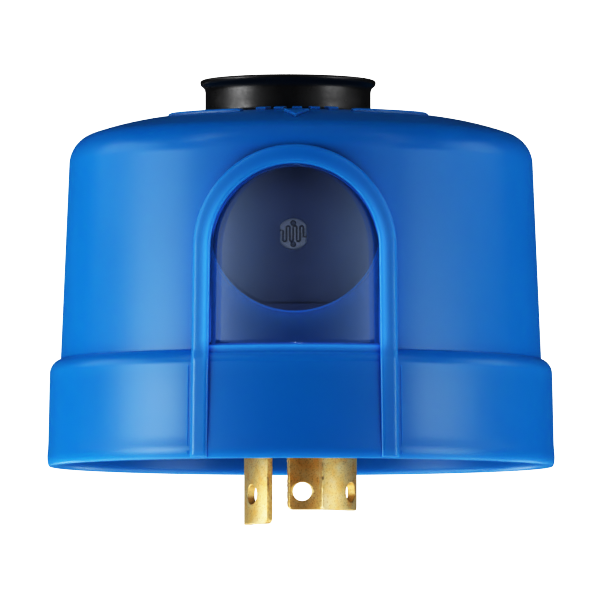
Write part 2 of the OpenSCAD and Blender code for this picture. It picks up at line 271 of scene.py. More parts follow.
def frame_rib():
    stations = []
    legs = [0.2, 0.26, 0.34, 0.46, 0.62] + list(np.arange(1.5, 15.0, 1.5)) + list(np.arange(15.2, 18.6, 0.2)) + list(np.arange(19.2, ARCH_H, 1.2))
    for h in legs:
        stations.append((-(ARCH_MID + 0.4 * (ARCH_H - h) / ARCH_H), h, -1.0, 0.0))
    n = 72
    for i in range(n + 1):
        a = math.pi - math.pi * i / n
        stations.append((ARCH_MID * math.cos(a), ARCH_H + ARCH_MID * math.sin(a), math.cos(a), math.sin(a)))
    for h in legs[::-1]:
        stations.append((ARCH_MID + 0.4 * (ARCH_H - h) / ARCH_H, h, 1.0, 0.0))
    rings = []
    for x, h, nx, nh in stations:
        wo, wi, q = 1.4 + 0.28 * max(0.0, nh) ** 2, 1.4, 0.6
        deep = 1.4 + 2.2 * step(h, 14.0, 19.0)
        e0 = 0.42 * (1 - math.sqrt(max(0.0, 1 - ((0.62 - h) / 0.42) ** 2))) if h < 0.62 else 0.0
        sec = [(wo, deep), (wo, 1.2)]
        sec += [(wo - q + q * math.cos(t), q - q * math.sin(t)) for t in np.linspace(0, math.pi / 2, 7)]
        sec += [(wo * 0.45, 0.0), (0.0, 0.0), (-wi * 0.45, 0.0)]
        sec += [(-wi + q - q * math.sin(t), q - q * math.cos(t)) for t in np.linspace(0, math.pi / 2, 7)]
        sec += [(-wi, 1.2), (-wi, deep)]
        ring = []
        for d, e in sec:
            px, ph = x + d * nx, h + d * nh
            r = rib_r(ph) - max(e, e0)
            ring.append((px, -math.sqrt(r * r - px * px), ph))
        rings.append(ring)
    return sweep("rib", rings)


def sill():
    prof = [(38.6, 14.0), (41.0, 14.0), (41.42, 15.3), (41.5, 15.6), (41.5, 16.3), (41.47, 16.55), (41.37, 16.75), (41.2, 16.9), (41.08, 17.05), (41.02, 17.3), (40.98, 18.0)]
    prof += arc(40.7, 18.02, 0.28, 0, 90, 5) + [(38.6, SILL_H)]
    rings = []
    for x in np.linspace(-14.2, 14.2, 49):
        rings.append([(x, -math.sqrt(r * r - x * x), h) for r, h in prof])
    return sweep("sill", rings)


def raised(name, outline, up, ease=0.16):
    """Raised mark on the crown with a softened upper edge; the outline is convex, in x and y."""
    c = np.mean(outline, axis=0)
    rings = []
    for shrink, lift in ((0, -0.7), (0, up - ease), (ease * 0.3, up - ease * 0.3), (ease, up)):
        ring = []
        for p in outline:
            v = np.array(p) - c
            q = c + v * (1 - shrink / max(np.linalg.norm(v), 1e-6))
            ring.append((q[0], q[1], crown_z(float(np.hypot(*q))) + lift))
        rings.append(ring)
    return sweep(name, rings)


def raised_arc(name, r0, r1, a0, a1, up, n=20, ease=0.16):
    rings = []
    for i in range(n + 1):
        a = math.radians(a0 + (a1 - a0) * i / n)
        end = up if 0 < i < n else up - ease
        sec = [(r0, -0.7), (r0, end - ease), (r0 + ease, end), (r1 - ease, end), (r1, end - ease), (r1, -0.7)]
        rings.append([(r * math.cos(a), r * math.sin(a), crown_z(r) + z) for r, z in sec])
    return sweep(name, rings)


def dense(outline, n=6):
    out = []
    for p, q in zip(outline, outline[1:] + outline[:1]):
        for i in range(n):
            out.append((p[0] + (q[0] - p[0]) * i / n, p[1] + (q[1] - p[1]) * i / n))
    return out


def build_cover():
    body = crown_outline(0)
    body += [(TOP_R + (FOOT_R - TOP_R) * i / 10, SH_H + (FOOT_H - SH_H) * i / 10) for i in range(1, 10)]
    body += arc(39.0, 15.3, 2.5, math.degrees(math.acos(0.7 / 2.5)), 0, 14)
    body += [(41.58, 12), (41.66, 8), (41.74, 4), (41.8, 2.8), (41.86, 2.2)]
    body += [(41.5 + 0.4 * math.cos(t), 1.6 - 1.6 * math.sin(t)) for t in np.linspace(0, math.pi / 2, 12)] + [(30, 0), (0, 0)]
    cover = revolve("cover_shell", body, 288)
    boolean(cover, arch_slab("seat_cut", ARCH_IN + 0.8, 18.05, lambda h: dome_r(h) - 0.95, None, flat_out=60), "DIFFERENCE")
    boolean(cover, frame_rib(), "UNION")
    boolean(cover, sill(), "UNION")
    # thin beads where the frame's legs meet the skirt
    for s in (-1, 1):
        rings = []
        for h in np.linspace(0.7, 15.0, 30):
            x = s * (ARCH_MID + 0.4 * (ARCH_H - h) / ARCH_H + 1.4 + 0.42)
            r = 41.5 + 0.3 * (15.3 - h) / 13.9 - 0.02
            rings.append([(x + 0.16 * math.cos(t), -math.sqrt(r * r - x * x) + 0.1 * math.sin(t), h) for t in np.linspace(0, 2 * math.pi, 11)[:-1]])
        boolean(cover, sweep("bead", rings), "UNION")
    # marks on the crown
    boolean(cover, raised("arrow", dense([(-2.05, -28.0), (0.0, -33.2), (2.05, -28.0)], 8), 0.5), "UNION")
    for i in range(-2, 3):
        a = math.radians(270 + 7 * i)
        c, s = math.cos(a), math.sin(a)
        box = [(21.2, -0.8), (24.6, -0.8), (24.6, 0.8), (21.2, 0.8)]
        boolean(cover, raised("tick", dense([(x * c - y * s, x * s + y * c) for x, y in box], 4), 0.45), "UNION")
    for a0, a1 in [(290, 322), (218, 250)] + [(a - 9, a + 9) for a in range(30, 151, 30)]:
        boolean(cover, raised_arc("bar", 25.6, 27.0, a0, a1, 0.45), "UNION")
    # inside
    cavity = crown_outline(2, flat=False)
    cavity += [(dome_r(15.4) - 2, 15.4), (39.75, 15.4), (39.75, 9.0), (39.98, 1.0), (40.03, 0.6), (40.14, 0.3), (40.3, 0.1), (40.5, -0.02), (40.5, -1.0), (0, -1.0)]
    hollow = revolve("hollow", cavity, 288)
    boolean(hollow, arch_slab("back_wall", ARCH_IN + 1.2, 17.0, lambda h: dome_r(h) - 3.0, lambda h: dome_r(h) - 0.3), "DIFFERENCE")
    boolean(cover, hollow, "DIFFERENCE")
    # snap beads under the base plate
    for k in range(6):
        rings = []
        for i in range(9):
            a = math.radians(30 + 60 * k - 5 + 10 * i / 8)
            sec = [(40.4, 7.0), (39.86, 7.05), (39.1, 8.3), (39.05, 8.6), (39.1, 8.88), (40.4, 8.95)]
            rings.append([(r * math.cos(a), r * math.sin(a), h) for r, h in sec])
        boolean(cover, sweep("snap", rings), "UNION")
    # corners below the light opening, and the opening
    barrel = lambda n, r: sweep(n, [[(r * math.cos(t), y, LIGHT_H + r * math.sin(t)) for t in np.linspace(0, 2 * math.pi, 181)[:-1]] for y in (-20.0, -60.0)])
    corner = arch_slab("corner", ARCH_IN - 0.25, SILL_H + 0.3, lambda h: dome_r(h) - 1.5, None, flat_out=60)
    boolean(corner, barrel("barrel", LIGHT_R), "DIFFERENCE")
    boolean(cover, corner, "DIFFERENCE")
    hole = arch_slab("hole", ARCH_IN - 0.2, SILL_H + 0.3, lambda h: dome_r(h) - 12.0, None, flat_out=60)
    boolean(hole, barrel("barrel", LIGHT_R), "INTERSECT")
    boolean(cover, hole, "DIFFERENCE")
    # rounded lip along the light opening
    rings = []
    for t in np.linspace(math.radians(176), math.radians(364), 97):
        x, h = (LIGHT_R + 0.14) * math.cos(t), LIGHT_H + (LIGHT_R + 0.14) * math.sin(t)
        nx, nh = math.cos(t), math.sin(t)
        r = dome_r(h) - 1.42
        ring = []
        for u in np.linspace(0, 2 * math.pi, 13)[:-1]:
            d, e = 0.24 * math.cos(u), 0.42 * math.sin(u)
            px, ph = x + d * nx, h + d * nh
            ring.append((px, -math.sqrt((r + e) ** 2 - px * px), ph))
        rings.append(ring)
    lip = sweep("lip", rings)
    boolean(lip, arch_slab("lip_keep", ARCH_IN - 0.1, SILL_H, lambda h: dome_r(h) - 3.0, None, flat_out=60), "INTERSECT")
    boolean(cover, lip, "UNION")
    return cover


# ------------------------------------------------------------------ materials


def material(name):
    m = bpy.data.materials.new(name)
    m.use_nodes = True
    nt = m.node_tree
    return m, nt, nt.nodes["Principled BSDF"]


def node(nt, kind, **values):
    n = nt.nodes.new(kind)
    for k, v in values.items():
        if k in n.inputs:
            n.inputs[k].default_value = v
        else:
            setattr(n, k, v)
    return n


def noise(nt, scale, detail=3.0, rough=0.5, coords=None, stretch=None):
    n = node(nt, "ShaderNodeTexNoise", Scale=scale, Detail=detail, Roughness=rough)
    tc = node(nt, "ShaderNodeTexCoord")
    if stretch:
        mp = node(nt, "ShaderNodeMapping")
        mp.inputs["Scale"].default_value = stretch
        nt.links.new(tc.outputs["Object"], mp.inputs["Vector"])
        nt.links.new(mp.outputs["Vector"], n.inputs["Vector"])
    else:
        nt.links.new(tc.outputs["Object"], n.inputs["Vector"])
    return n.outputs["Fac"]


def ramp(nt, fac, stops, interpolation="LINEAR"):
    r = node(nt, "ShaderNodeValToRGB")
    r.color_ramp.interpolation = interpolation
    e = r.color_ramp.elements
    while len(e) < len(stops):
        e.new(0.5)
    for el, (p, c) in zip(e, stops):
        el.position = p
        el.color = c if len(c) == 4 else (*c, 1.0)
    nt.links.new(fac, r.inputs["Fac"])
    return r.outputs["Color"]


def span(nt, fac, lo, hi, a=0.3, b=0.7):
    m = node(nt, "ShaderNodeMapRange")
    m.inputs["From Min"].default_value, m.inputs["From Max"].default_value = a, b
    m.inputs["To Min"].default_value, m.inputs["To Max"].default_value = lo, hi
    nt.links.new(fac, m.inputs["Value"])
    return m.outputs["Result"]


def bump(nt, bsdf, height, strength, distance, below=None):
    b = node(nt, "ShaderNodeBump", Strength=strength, Distance=distance)
    nt.links.new(height, b.inputs["Height"])
    if below is not None:
        nt.links.new(below, b.inputs["Normal"])
    nt.links.new(b.outputs["Normal"], bsdf.inputs["Normal"])
    return b.outputs["Normal"]


def plastic(name, dark, light, rough, grain=2500.0, grain_depth=0.00002, coarse=120.0, sss=0.0, spec=0.5):
    m, nt, p = material(name)
    nt.links.new(ramp(nt, noise(nt, coarse, 4.0), [(0.3, dark), (0.7, light)]), p.inputs["Base Color"])
    nt.links.new(span(nt, noise(nt, grain * 0.35, 4.0), rough - 0.05, rough + 0.05), p.inputs["Roughness"])
    p.inputs["Specular IOR Level"].default_value = spec
    if sss:
        p.inputs["Subsurface Weight"].default_value = sss
        p.inputs["Subsurface Radius"].default_value = (0.3, 0.8, 1.6)
        p.inputs["Subsurface Scale"].default_value = 0.0012
    bump(nt, p, noise(nt, grain, 2.0), 0.35, grain_depth)
    return m


def metal(name, dark, light, rough, scale=900.0, depth=0.00003, strength=0.5, stretch=None):
    m, nt, p = material(name)
    p.inputs["Metallic"].default_value = 1.0
    f = noise(nt, scale, 5.0, 0.6, stretch=stretch)
    nt.links.new(ramp(nt, f, [(0.35, dark), (0.65, light)]), p.inputs["Base Color"])
    nt.links.new(span(nt, noise(nt, scale * 0.6, 3.0), rough - 0.08, rough + 0.1), p.inputs["Roughness"])
    bump(nt, p, f, strength, depth)
    return m


def blue_cover():
    m, nt, p = material("blue_cover")
    cloud = noise(nt, 45.0, 5.0, 0.55)
    skin = ramp(nt, cloud, [(0.3, (0.003, 0.275, 0.83)), (0.7, (0.005, 0.297, 0.88))])
    # painted light: the recess behind the pane is coloured paler than the rest of the cover
    xyz = node(nt, "ShaderNodeSeparateXYZ")
    nt.links.new(node(nt, "ShaderNodeTexCoord").outputs["Object"], xyz.inputs["Vector"])
    flat = node(nt, "ShaderNodeCombineXYZ")
    nt.links.new(xyz.outputs["X"], flat.inputs["X"])
    nt.links.new(xyz.outputs["Y"], flat.inputs["Y"])
    reach = node(nt, "ShaderNodeVectorMath", operation="LENGTH")
    nt.links.new(flat.outputs["Vector"], reach.inputs[0])
    deep = span(nt, reach.outputs["Value"], 1.0, 0.0, 0.0383, 0.0386)
    low = span(nt, xyz.outputs["Z"], 1.0, 0.0, 0.03, 0.031)
    painted_recess_light = node(nt, "ShaderNodeMath", operation="MULTIPLY")
    nt.links.new(deep, painted_recess_light.inputs[0])
    nt.links.new(low, painted_recess_light.inputs[1])
    tone = node(nt, "ShaderNodeMix", data_type="RGBA")
    nt.links.new(painted_recess_light.outputs["Value"], tone.inputs["Factor"])
    nt.links.new(skin, tone.inputs["A"])
    tone.inputs["B"].default_value = (0.04, 0.4, 0.8, 1.0)
    # painted light: thin edges are painted lighter and made to glow, most of all halfway up, and the creases get
    # painted shade
    thin = node(nt, "ShaderNodeAmbientOcclusion", Distance=0.0018, samples=6, inside=True, only_local=True)
    fade = ramp(nt, span(nt, xyz.outputs["Z"], 0.0, 1.0, -0.006, 0.05), [(0.0, (0.55,) * 3), (0.25, (0.6,) * 3), (0.34, (1.0,) * 3), (0.6, (1.0,) * 3), (0.86, (0.4,) * 3), (0.96, (0.12,) * 3)])
    faded = node(nt, "ShaderNodeMath", operation="MULTIPLY")
    nt.links.new(span(nt, thin.outputs["AO"], 1.0, 0.0, 0.5, 0.97), faded.inputs[0])
    nt.links.new(fade, faded.inputs[1])
    painted_edge_glow = faded.outputs["Value"]
    # painted highlight: lighter blue along the thin edges
    edge = node(nt, "ShaderNodeMix", data_type="RGBA")
    nt.links.new(painted_edge_glow, edge.inputs["Factor"])
    nt.links.new(tone.outputs["Result"], edge.inputs["A"])
    edge.inputs["B"].default_value = (0.02, 0.42, 1.0, 1.0)
    # painted glow: the thin edges and the recess behind the pane give off light of their own, though no lamp is there
    lit = node(nt, "ShaderNodeMix", data_type="RGBA")
    nt.links.new(painted_recess_light.outputs["Value"], lit.inputs["Factor"])
    nt.links.new(ramp(nt, painted_edge_glow, [(0.0, (0.0, 0.0, 0.0)), (0.35, (0.008, 0.035, 0.1)), (1.0, (0.06, 0.22, 0.75))]), lit.inputs["A"])
    lit.inputs["B"].default_value = (0.012, 0.052, 0.13, 1.0)
    nt.links.new(lit.outputs["Result"], p.inputs["Emission Color"])
    p.inputs["Emission Strength"].default_value = 1.0
    # painted shade: base colour darkened in creases and corners
    painted_crease_shade = node(nt, "ShaderNodeAmbientOcclusion", Distance=0.005, samples=6, only_local=True)
    shade = node(nt, "ShaderNodeMix", data_type="RGBA")
    shade.blend_type = "MULTIPLY"
    shade.inputs["Factor"].default_value = 1.0
    nt.links.new(edge.outputs["Result"], shade.inputs["A"])
    nt.links.new(ramp(nt, painted_crease_shade.outputs["AO"], [(0.3, (0.45, 0.45, 0.5)), (0.75, (1.0, 1.0, 1.0))]), shade.inputs["B"])
    # painted shadow, darkest of all above the window frame
    painted_shadow_over_frame = node(nt, "ShaderNodeMix", data_type="RGBA")
    painted_shadow_over_frame.blend_type = "MULTIPLY"
    nt.links.new(span(nt, xyz.outputs["Z"], 0.0, 1.0, 0.036, 0.043), painted_shadow_over_frame.inputs["Factor"])
    nt.links.new(shade.outputs["Result"], painted_shadow_over_frame.inputs["A"])
    nt.links.new(ramp(nt, painted_crease_shade.outputs["AO"], [(0.5, (0.18, 0.24, 0.3)), (0.85, (1.0, 1.0, 1.0))]), painted_shadow_over_frame.inputs["B"])
    nt.links.new(painted_shadow_over_frame.outputs["Result"], p.inputs["Base Color"])
    nt.links.new(span(nt, noise(nt, 90.0, 2.0), 0.27, 0.32, 0.2, 0.8), p.inputs["Roughness"])
    p.inputs["Specular IOR Level"].default_value = 0.5
    p.inputs["Specular Tint"].default_value = (0.93, 1.0, 1.0, 1.0)
    p.inputs["Subsurface Weight"].default_value = 0.25
    p.inputs["Subsurface Radius"].default_value = (0.2, 0.7, 1.6)
    p.inputs["Subsurface Scale"].default_value = 0.0012
    slow = bump(nt, p, noise(nt, 40.0, 1.0), 0.05, 0.0001)
    bump(nt, p, noise(nt, 3200.0, 2.0), 0.12, 0.00001, slow)
    return m


def clear_pane():
    m, nt, p = material("clear_pane")
    nt.nodes.remove(p)
    out = next(n for n in nt.nodes if n.type == "OUTPUT_MATERIAL")
    clear = node(nt, "ShaderNodeBsdfTransparent", Color=(0.95, 0.97, 1.0, 1.0))
    haze = node(nt, "ShaderNodeBsdfDiffuse", Color=(0.35, 0.5, 0.95, 1.0))
    gloss = node(nt, "ShaderNodeBsdfAnisotropic", Color=(0.55, 0.72, 1.0, 1.0))
    nt.links.new(span(nt, noise(nt, 300.0, 3.0), 0.07, 0.09), gloss.inputs["Roughness"])
    # faint cloudiness, with specks of dust
    speck = ramp(nt, noise(nt, 2600.0, 1.0), [(0.0, (0.03, 0.03, 0.03)), (0.78, (0.03, 0.03, 0.03)), (0.82, (0.2, 0.2, 0.2))])
    inner = node(nt, "ShaderNodeMixShader")
    nt.links.new(speck, inner.inputs["Fac"])
    nt.links.new(clear.outputs["BSDF"], inner.inputs[1])
    nt.links.new(haze.outputs["BSDF"], inner.inputs[2])
    fres = node(nt, "ShaderNodeFresnel", IOR=2.4)
    mix = node(nt, "ShaderNodeMixShader")
    nt.links.new(fres.outputs["Fac"], mix.inputs["Fac"])
    nt.links.new(inner.outputs["Shader"], mix.inputs[1])
    nt.links.new(gloss.outputs["BSDF"], mix.inputs[2])
    nt.links.new(mix.outputs["Shader"], out.inputs["Surface"])
    return m


def brass():
    m, nt, p = material("brass_strip")
    p.inputs["Metallic"].default_value = 1.0
    grain = noise(nt, 4200.0, 3.0, 0.6)
    blotch = noise(nt, 420.0, 4.0, 0.6)
    mix = node(nt, "ShaderNodeMix", data_type="RGBA")
    mix.blend_type = "MULTIPLY"
    mix.inputs["Factor"].default_value = 0.55
    nt.links.new(ramp(nt, blotch, [(0.3, (1.0, 0.62, 0.2)), (0.5, (1.0, 0.74, 0.32)), (0.72, (1.0, 0.84, 0.47))]), mix.inputs["A"])
    nt.links.new(ramp(nt, grain, [(0.34, (0.5, 0.36, 0.2)), (0.48, (1.0, 1.0, 1.0))]), mix.inputs["B"])
    nt.links.new(mix.outputs["Result"], p.inputs["Base Color"])
    nt.links.new(span(nt, grain, 0.44, 0.6), p.inputs["Roughness"])
    bump(nt, p, grain, 0.6, 0.00004)
    return m


MAT = {
    "cover": blue_cover(),
    "pane": clear_pane(),
    "black": plastic("black_satin", (0.0045, 0.0045, 0.005), (0.007, 0.007, 0.0078), 0.32, grain=3000.0, grain_depth=0.000008, coarse=200.0, spec=0.65),
    "base": plastic("base_moulding", (0.016, 0.017, 0.019), (0.024, 0.025, 0.028), 0.48, grain=1800.0, grain_depth=0.00003),
    "foam": plastic("gasket_foam", (0.018, 0.018, 0.02), (0.05, 0.05, 0.053), 0.85, grain=1400.0, grain_depth=0.0002, coarse=1400.0, spec=0.2),
    "brass": brass(),
    "board": plastic("board_mask", (0.008, 0.07, 0.03), (0.014, 0.1, 0.045), 0.32, coarse=500.0),
    "steel": metal("zinc_steel", (0.55, 0.55, 0.56), (0.75, 0.75, 0.77), 0.3),
    "holder": plastic("dark_holder", (0.13, 0.195, 0.36), (0.155, 0.23, 0.42), 0.55, grain=1600.0),
    "ceramic": plastic("sensor_ceramic", (0.74, 0.74, 0.7), (0.86, 0.86, 0.82), 0.4, grain=6000.0, coarse=2500.0),
    "track": plastic("sensor_track", (0.012, 0.011, 0.01), (0.022, 0.02, 0.018), 0.45, grain=6000.0, coarse=3000.0),
    "solder": plastic("dull_solder", (0.3, 0.3, 0.29), (0.4, 0.4, 0.39), 0.4, grain=6000.0, coarse=3000.0),
    "tin": metal("tinned_wire", (0.6, 0.6, 0.6), (0.78, 0.78, 0.78), 0.32, scale=2000.0),
    "relay": plastic("relay_case", (0.012, 0.05, 0.24), (0.018, 0.066, 0.29), 0.28),
    "film": plastic("film_capacitor", (0.42, 0.3, 0.02), (0.5, 0.37, 0.04), 0.3),
    "sleeve": plastic("capacitor_sleeve", (0.008, 0.01, 0.02), (0.012, 0.015, 0.03), 0.26),
    "varistor": plastic("varistor_coat", (0.02, 0.1, 0.3), (0.03, 0.13, 0.36), 0.35, grain=900.0, grain_depth=0.00008),
    "epoxy": plastic("moulded_epoxy", (0.008, 0.008, 0.009), (0.014, 0.014, 0.016), 0.5),
    "zener": plastic("zener_body", (0.28, 0.035, 0.012), (0.38, 0.06, 0.02), 0.15),
    "resistor": plastic("resistor_coat", (0.42, 0.27, 0.12), (0.5, 0.33, 0.16), 0.35),
    "white": plastic("wire_white", (0.6, 0.6, 0.57), (0.68, 0.68, 0.65), 0.38),
    "dark": plastic("wire_black", (0.006, 0.006, 0.006), (0.01, 0.01, 0.01), 0.38),
    "red": plastic("wire_red", (0.3, 0.012, 0.008), (0.38, 0.018, 0.012), 0.38),
}

# ------------------------------------------------------------------ pieces

piece(build_cover(), "cover_shell", MAT["cover"], "blue_plastic", "cover", angle=32)

pane = arch_slab("pane", ARCH_IN - 0.05, SILL_H + 0.05, lambda h: dome_r(h) - 0.94, lambda h: dome_r(h) + 0.3)
bevelled(pane, 0.16, 3, 55)
piece(pane, "window_pane", MAT["pane"], "clear_pane", "window_lens", angle=50)


def build_collar():
    r, top, base = 13.7, 63.9, CROWN_H
    prof = [(0, base)] + arc(r - 0.9, base + 0.9, 0.9, -90, 0, 8)
    prof += [(r, base + 2.2), (r, top - 2.1), (r + 0.03, top - 1.8)]
    prof += [(r + 0.12, top - 1.5), (r + 0.3, top - 1.2), (r + 0.56, top - 0.98), (r + 0.76, top - 0.8)]
    prof += arc(14.55 - 0.35, top - 0.35, 0.35, -10, 90, 8)
    prof += [(r - 1.9, top)] + arc(r - 2.0, top - 0.15, 0.15, 90, 170, 3) + [(r - 2.5, top - 0.6), (6, top - 0.6), (0, top - 0.6)]
    return revolve("collar", prof, 192, x=-2.15)


piece(build_collar(), "collar", MAT["black"], "black_plastic", "crown_collar", angle=40)


def build_blade(start, end, hole_at, tip, hole):
    """Curved strip with rounded tip corners, sheared edges and a riveted foot; angles in degrees."""
    mid, half = (start + end) / 2, math.radians((end - start) / 2)
    r_out, r_in, top, corner = 9.4, 7.95, 13.5, 0.9
    hs = np.concatenate([-tip + np.array([0.0, 0.05, 0.14, 0.26, 0.4, 0.6]), np.arange(-tip + 0.75, 2.0, 0.16), np.linspace(2.4, top, 14)])
    n, m = 40, 7
    torn = RNG.normal(0.0, 1.0, (2, len(hs), m))
    torn = (torn + np.roll(torn, 1, 1) + np.roll(torn, 1, 2)) / math.sqrt(3)
    rings = []
    for j, h in enumerate(hs):
        up = h + tip
        cut = corner - math.sqrt(max(0.0, corner**2 - max(0.0, corner - up) ** 2)) if up < corner else 0.0
        thin = 0.14 * (1 - min(1.0, up / 0.14)) ** 2
        hw = half - cut / r_out
        ring = [((r_out - thin), -hw + 2 * hw * i / n) for i in range(n + 1)]
        ring += [(r_out - thin - 0.1 - (r_out - r_in - 2 * thin - 0.2) * k / (m - 1), hw + (0.01 + 0.0032 * torn[0, j, k])) for k in range(m)]
        ring += [((r_in + thin), hw - 2 * hw * i / n) for i in range(n + 1)]
        ring += [(r_in + thin + 0.1 + (r_out - r_in - 2 * thin - 0.2) * k / (m - 1), -hw - (0.01 + 0.0032 * torn[1, j, k])) for k in range(m)]
        rings.append([(r * math.cos(t), r * math.sin(t), h) for r, t in ring])
    ob = sweep("blade", rings)
    prof = [(4.0, 1.95), (r_in - 0.3, 1.95), (r_in + 0.1, 1.55), (r_out - 0.16, 1.55), (r_out + 0.24, 1.95), (14.0, 1.95)]
    drill = sweep("drill", [[(x, q * math.cos(u), -hole + q * math.sin(u)) for u in np.linspace(0, 2 * math.pi, 65)[:-1]] for x, q in prof])
    drill.data.transform(Matrix.Rotation(math.radians(hole_at - mid), 4, "Z"))
    boolean(ob, drill, "DIFFERENCE")
    sec = [(8.8, 12.5), (20.5, 12.5), (20.5, 13.9), (8.8, 13.9)]
    foot = sweep("foot", [[(r * math.cos(a), r * math.sin(a), h) for r, h in sec] for a in np.radians(np.linspace(-14, 14, 15))])
    boolean(foot, sweep("pin", [[(13.2 + 1.6 * math.cos(u), 1.6 * math.sin(u), h) for u in np.linspace(0, 2 * math.pi, 49)[:-1]] for h in (10.0, 16.0)]), "DIFFERENCE")
    boolean(ob, foot, "UNION")
    ob.data.transform(Matrix.Rotation(math.radians(mid), 4, "Z"))
    return ob


piece(build_blade(172.4, 235.4, 211.5, 9.6, 4.7), "blade_neutral", MAT["brass"], "brass", "neutral_blade", angle=40)
piece(build_blade(293.8, 349.6, 333.0, 7.35, 4.35), "blade_line", MAT["brass"], "brass", "line_blade", angle=40)
piece(build_blade(51.1, 105.4, 90.2, 6.85, 3.8), "blade_load", MAT["brass"], "brass", "load_blade", angle=40)

# light sensor: a coated ceramic cell with flats, its film track and two solder dots
SX, SY, SH = -0.5, -28.0, 36.8


def build_cell():
    out = []
    for k in range(64):
        a = 2 * math.pi * k / 64
        x, z = 2.55 * math.cos(a), 2.55 * math.sin(a)
        out.append((max(-2.15, min(2.15, x)), z))
    rings = []
    for s, y in ((1.0, -26.0), (1.0, -27.72), (0.985, -27.86), (0.95, -27.95), (0.9, -28.0)):
        rings.append([(SX + x * s, y, SH + z * s) for x, z in out])
    return sweep("cell", rings)


def build_track():
    """Flat meander of upright runs, a little proud of the cell's face."""
    pitch, high, w = 0.55, 1.1, 0.31
    path = [(-2.15, 0.55)]
    for k in range(7):
        x = (k - 3) * pitch
        ends = (high, -high) if k % 2 == 0 else (-high, high)
        if k == 0:
            path.append((x, 0.55))
            path.append((x, -high + 0.1))
            last = -1
            continue
        s = last
        mid = x - pitch / 2
        path += [(mid + pitch / 2 * math.cos(t), s * (high - 0.1) + s * 0.26 * math.sin(t)) for t in np.linspace(math.pi, 0, 7)]
        path.append((x, -s * (high - 0.1) if k < 6 else -0.5))
        last = -s
    path.append((2.15, -0.5))
    rings = []
    for i, p in enumerate(path):
        a, b = path[max(0, i - 1)], path[min(len(path) - 1, i + 1)]
        d = Vector((b[0] - a[0], b[1] - a[1])).normalized()
        nrm = Vector((-d.y, d.x))
        ring = []
        for off, y in ((-w / 2, -27.96), (-w / 2, -28.03), (w / 2, -28.03), (w / 2, -27.96)):
            ring.append((SX + p[0] + nrm.x * off, y, SH + p[1] + nrm.y * off))
        rings.append(ring)
    return sweep("track", rings)


def build_dots(r, up):
    dots = None
    for s in (-1.72, 1.72):
        prof = [(0, -0.05), (r, -0.05), (r, 0.2 * up), (0.8 * r, 0.6 * up), (0.48 * r, 0.9 * up), (0, up)]
        d = revolve("dot", prof, 32)
        d.data.transform(Matrix.Translation((SX, -27.98, SH + s)) @ Matrix.Rotation(math.radians(90), 4, "X"))
        dots = d if dots is None else boolean(dots, d, "UNION")
    return dots


piece(build_cell(), "sensor_cell", MAT["ceramic"], "sensor_ceramic", "light_sensor", angle=40)
piece(build_track(), "sensor_track", MAT["track"], "sensor_ceramic", angle=40)
piece(build_dots(0.52, 0.05), "sensor_pads", MAT["track"], "sensor_ceramic", angle=50)
piece(build_dots(0.33, 0.17), "sensor_solder", MAT["solder"], "tinned_wire", angle=50)

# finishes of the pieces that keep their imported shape
for name, mat in {
    "base_plate": "base", "gasket": "foam", "blade_rivets": "brass", "circuit_board": "board", "board_screws": "steel",
    "sensor_holder": "holder", "sensor_leads": "tin", "relay": "relay", "film_capacitor": "film", "electrolytic_capacitor": "sleeve",
    "surge_varistor": "varistor", "bridge_rectifier": "epoxy", "transistor": "epoxy", "zener_diode": "zener", "flyback_diode": "epoxy",
    "resistors": "resistor", "neutral_wire": "white", "line_wire": "dark", "load_wire": "red",
}.items():
    ob = nodes[name]
    ob.data.materials.clear()
    ob.data.materials.append(MAT[mat])

# ------------------------------------------------------------------ floor, light and camera

bpy.ops.mesh.primitive_plane_add(size=2.4, location=(0, 0, -3.0))
floor = bpy.context.object
floor.name = "floor"
fm, nt, p = material("floor_paper")
nt.links.new(ramp(nt, noise(nt, 6.0, 3.0), [(0.3, (0.8, 0.8, 0.8)), (0.7, (0.84, 0.84, 0.84))]), p.inputs["Base Color"])
p.inputs["Roughness"].default_value = 0.9
floor.data.materials.append(fm)

world = bpy.data.worlds.new("studio")
scene.world = world
world.use_nodes = True
nt = world.node_tree
bg = nt.nodes["Background"]
bg.inputs["Color"].default_value = (0.95, 0.97, 1.0, 1.0)
bg.inputs["Strength"].default_value = 0.03
white = node(nt, "ShaderNodeBackground", Color=(1.0, 1.0, 1.0, 1.0), Strength=3.0)
lp = node(nt, "ShaderNodeLightPath")
mix = node(nt, "ShaderNodeMixShader")
nt.links.new(lp.outputs["Is Camera Ray"], mix.inputs["Fac"])
nt.links.new(bg.outputs["Background"], mix.inputs[1])
nt.links.new(white.outputs["Background"], mix.inputs[2])
nt.links.new(mix.outputs["Shader"], nt.nodes["World Output"].inputs["Surface"])


def area_light(name, direction, distance, width, height, radiance, aim=(0, 0, 0.02), tint=(1.0, 1.0, 1.0)):
    light = bpy.data.lights.new(name, "AREA")
    light.shape, light.size, light.size_y = "RECTANGLE", width, height
    light.energy = 4.0 * width * height * radiance
    light.color = tint
    ob = bpy.data.objects.new(name, light)
    scene.collection.objects.link(ob)
    d = Vector(direction).normalized()
    ob.location = Vector(aim) + d * distance
    ob.rotation_euler = (-d).to_track_quat("-Z", "Y").to_euler()
    ob.visible_camera = False
    return ob


def scrim(name, side, levels, low, high, distance=0.9, every=12.0, tint=(1.0, 1.0, 1.0)):
    """Tall lit screen at one side, as upright strips; azimuths are measured from the camera's side."""
    mid = math.radians((low + high) / 2)
    tall = 2 * distance * math.tan(math.radians((high - low) / 2))
    wide = 2 * distance * math.tan(math.radians(every / 2)) * math.cos(mid)
    for azimuth, radiance in levels:
        a = math.radians(side * azimuth)
        d = (math.sin(a) * math.cos(mid), -math.cos(a) * math.cos(mid), math.sin(mid))
        area_light(f"{name}_{azimuth}", d, distance, wide, tall, radiance, tint=tint)


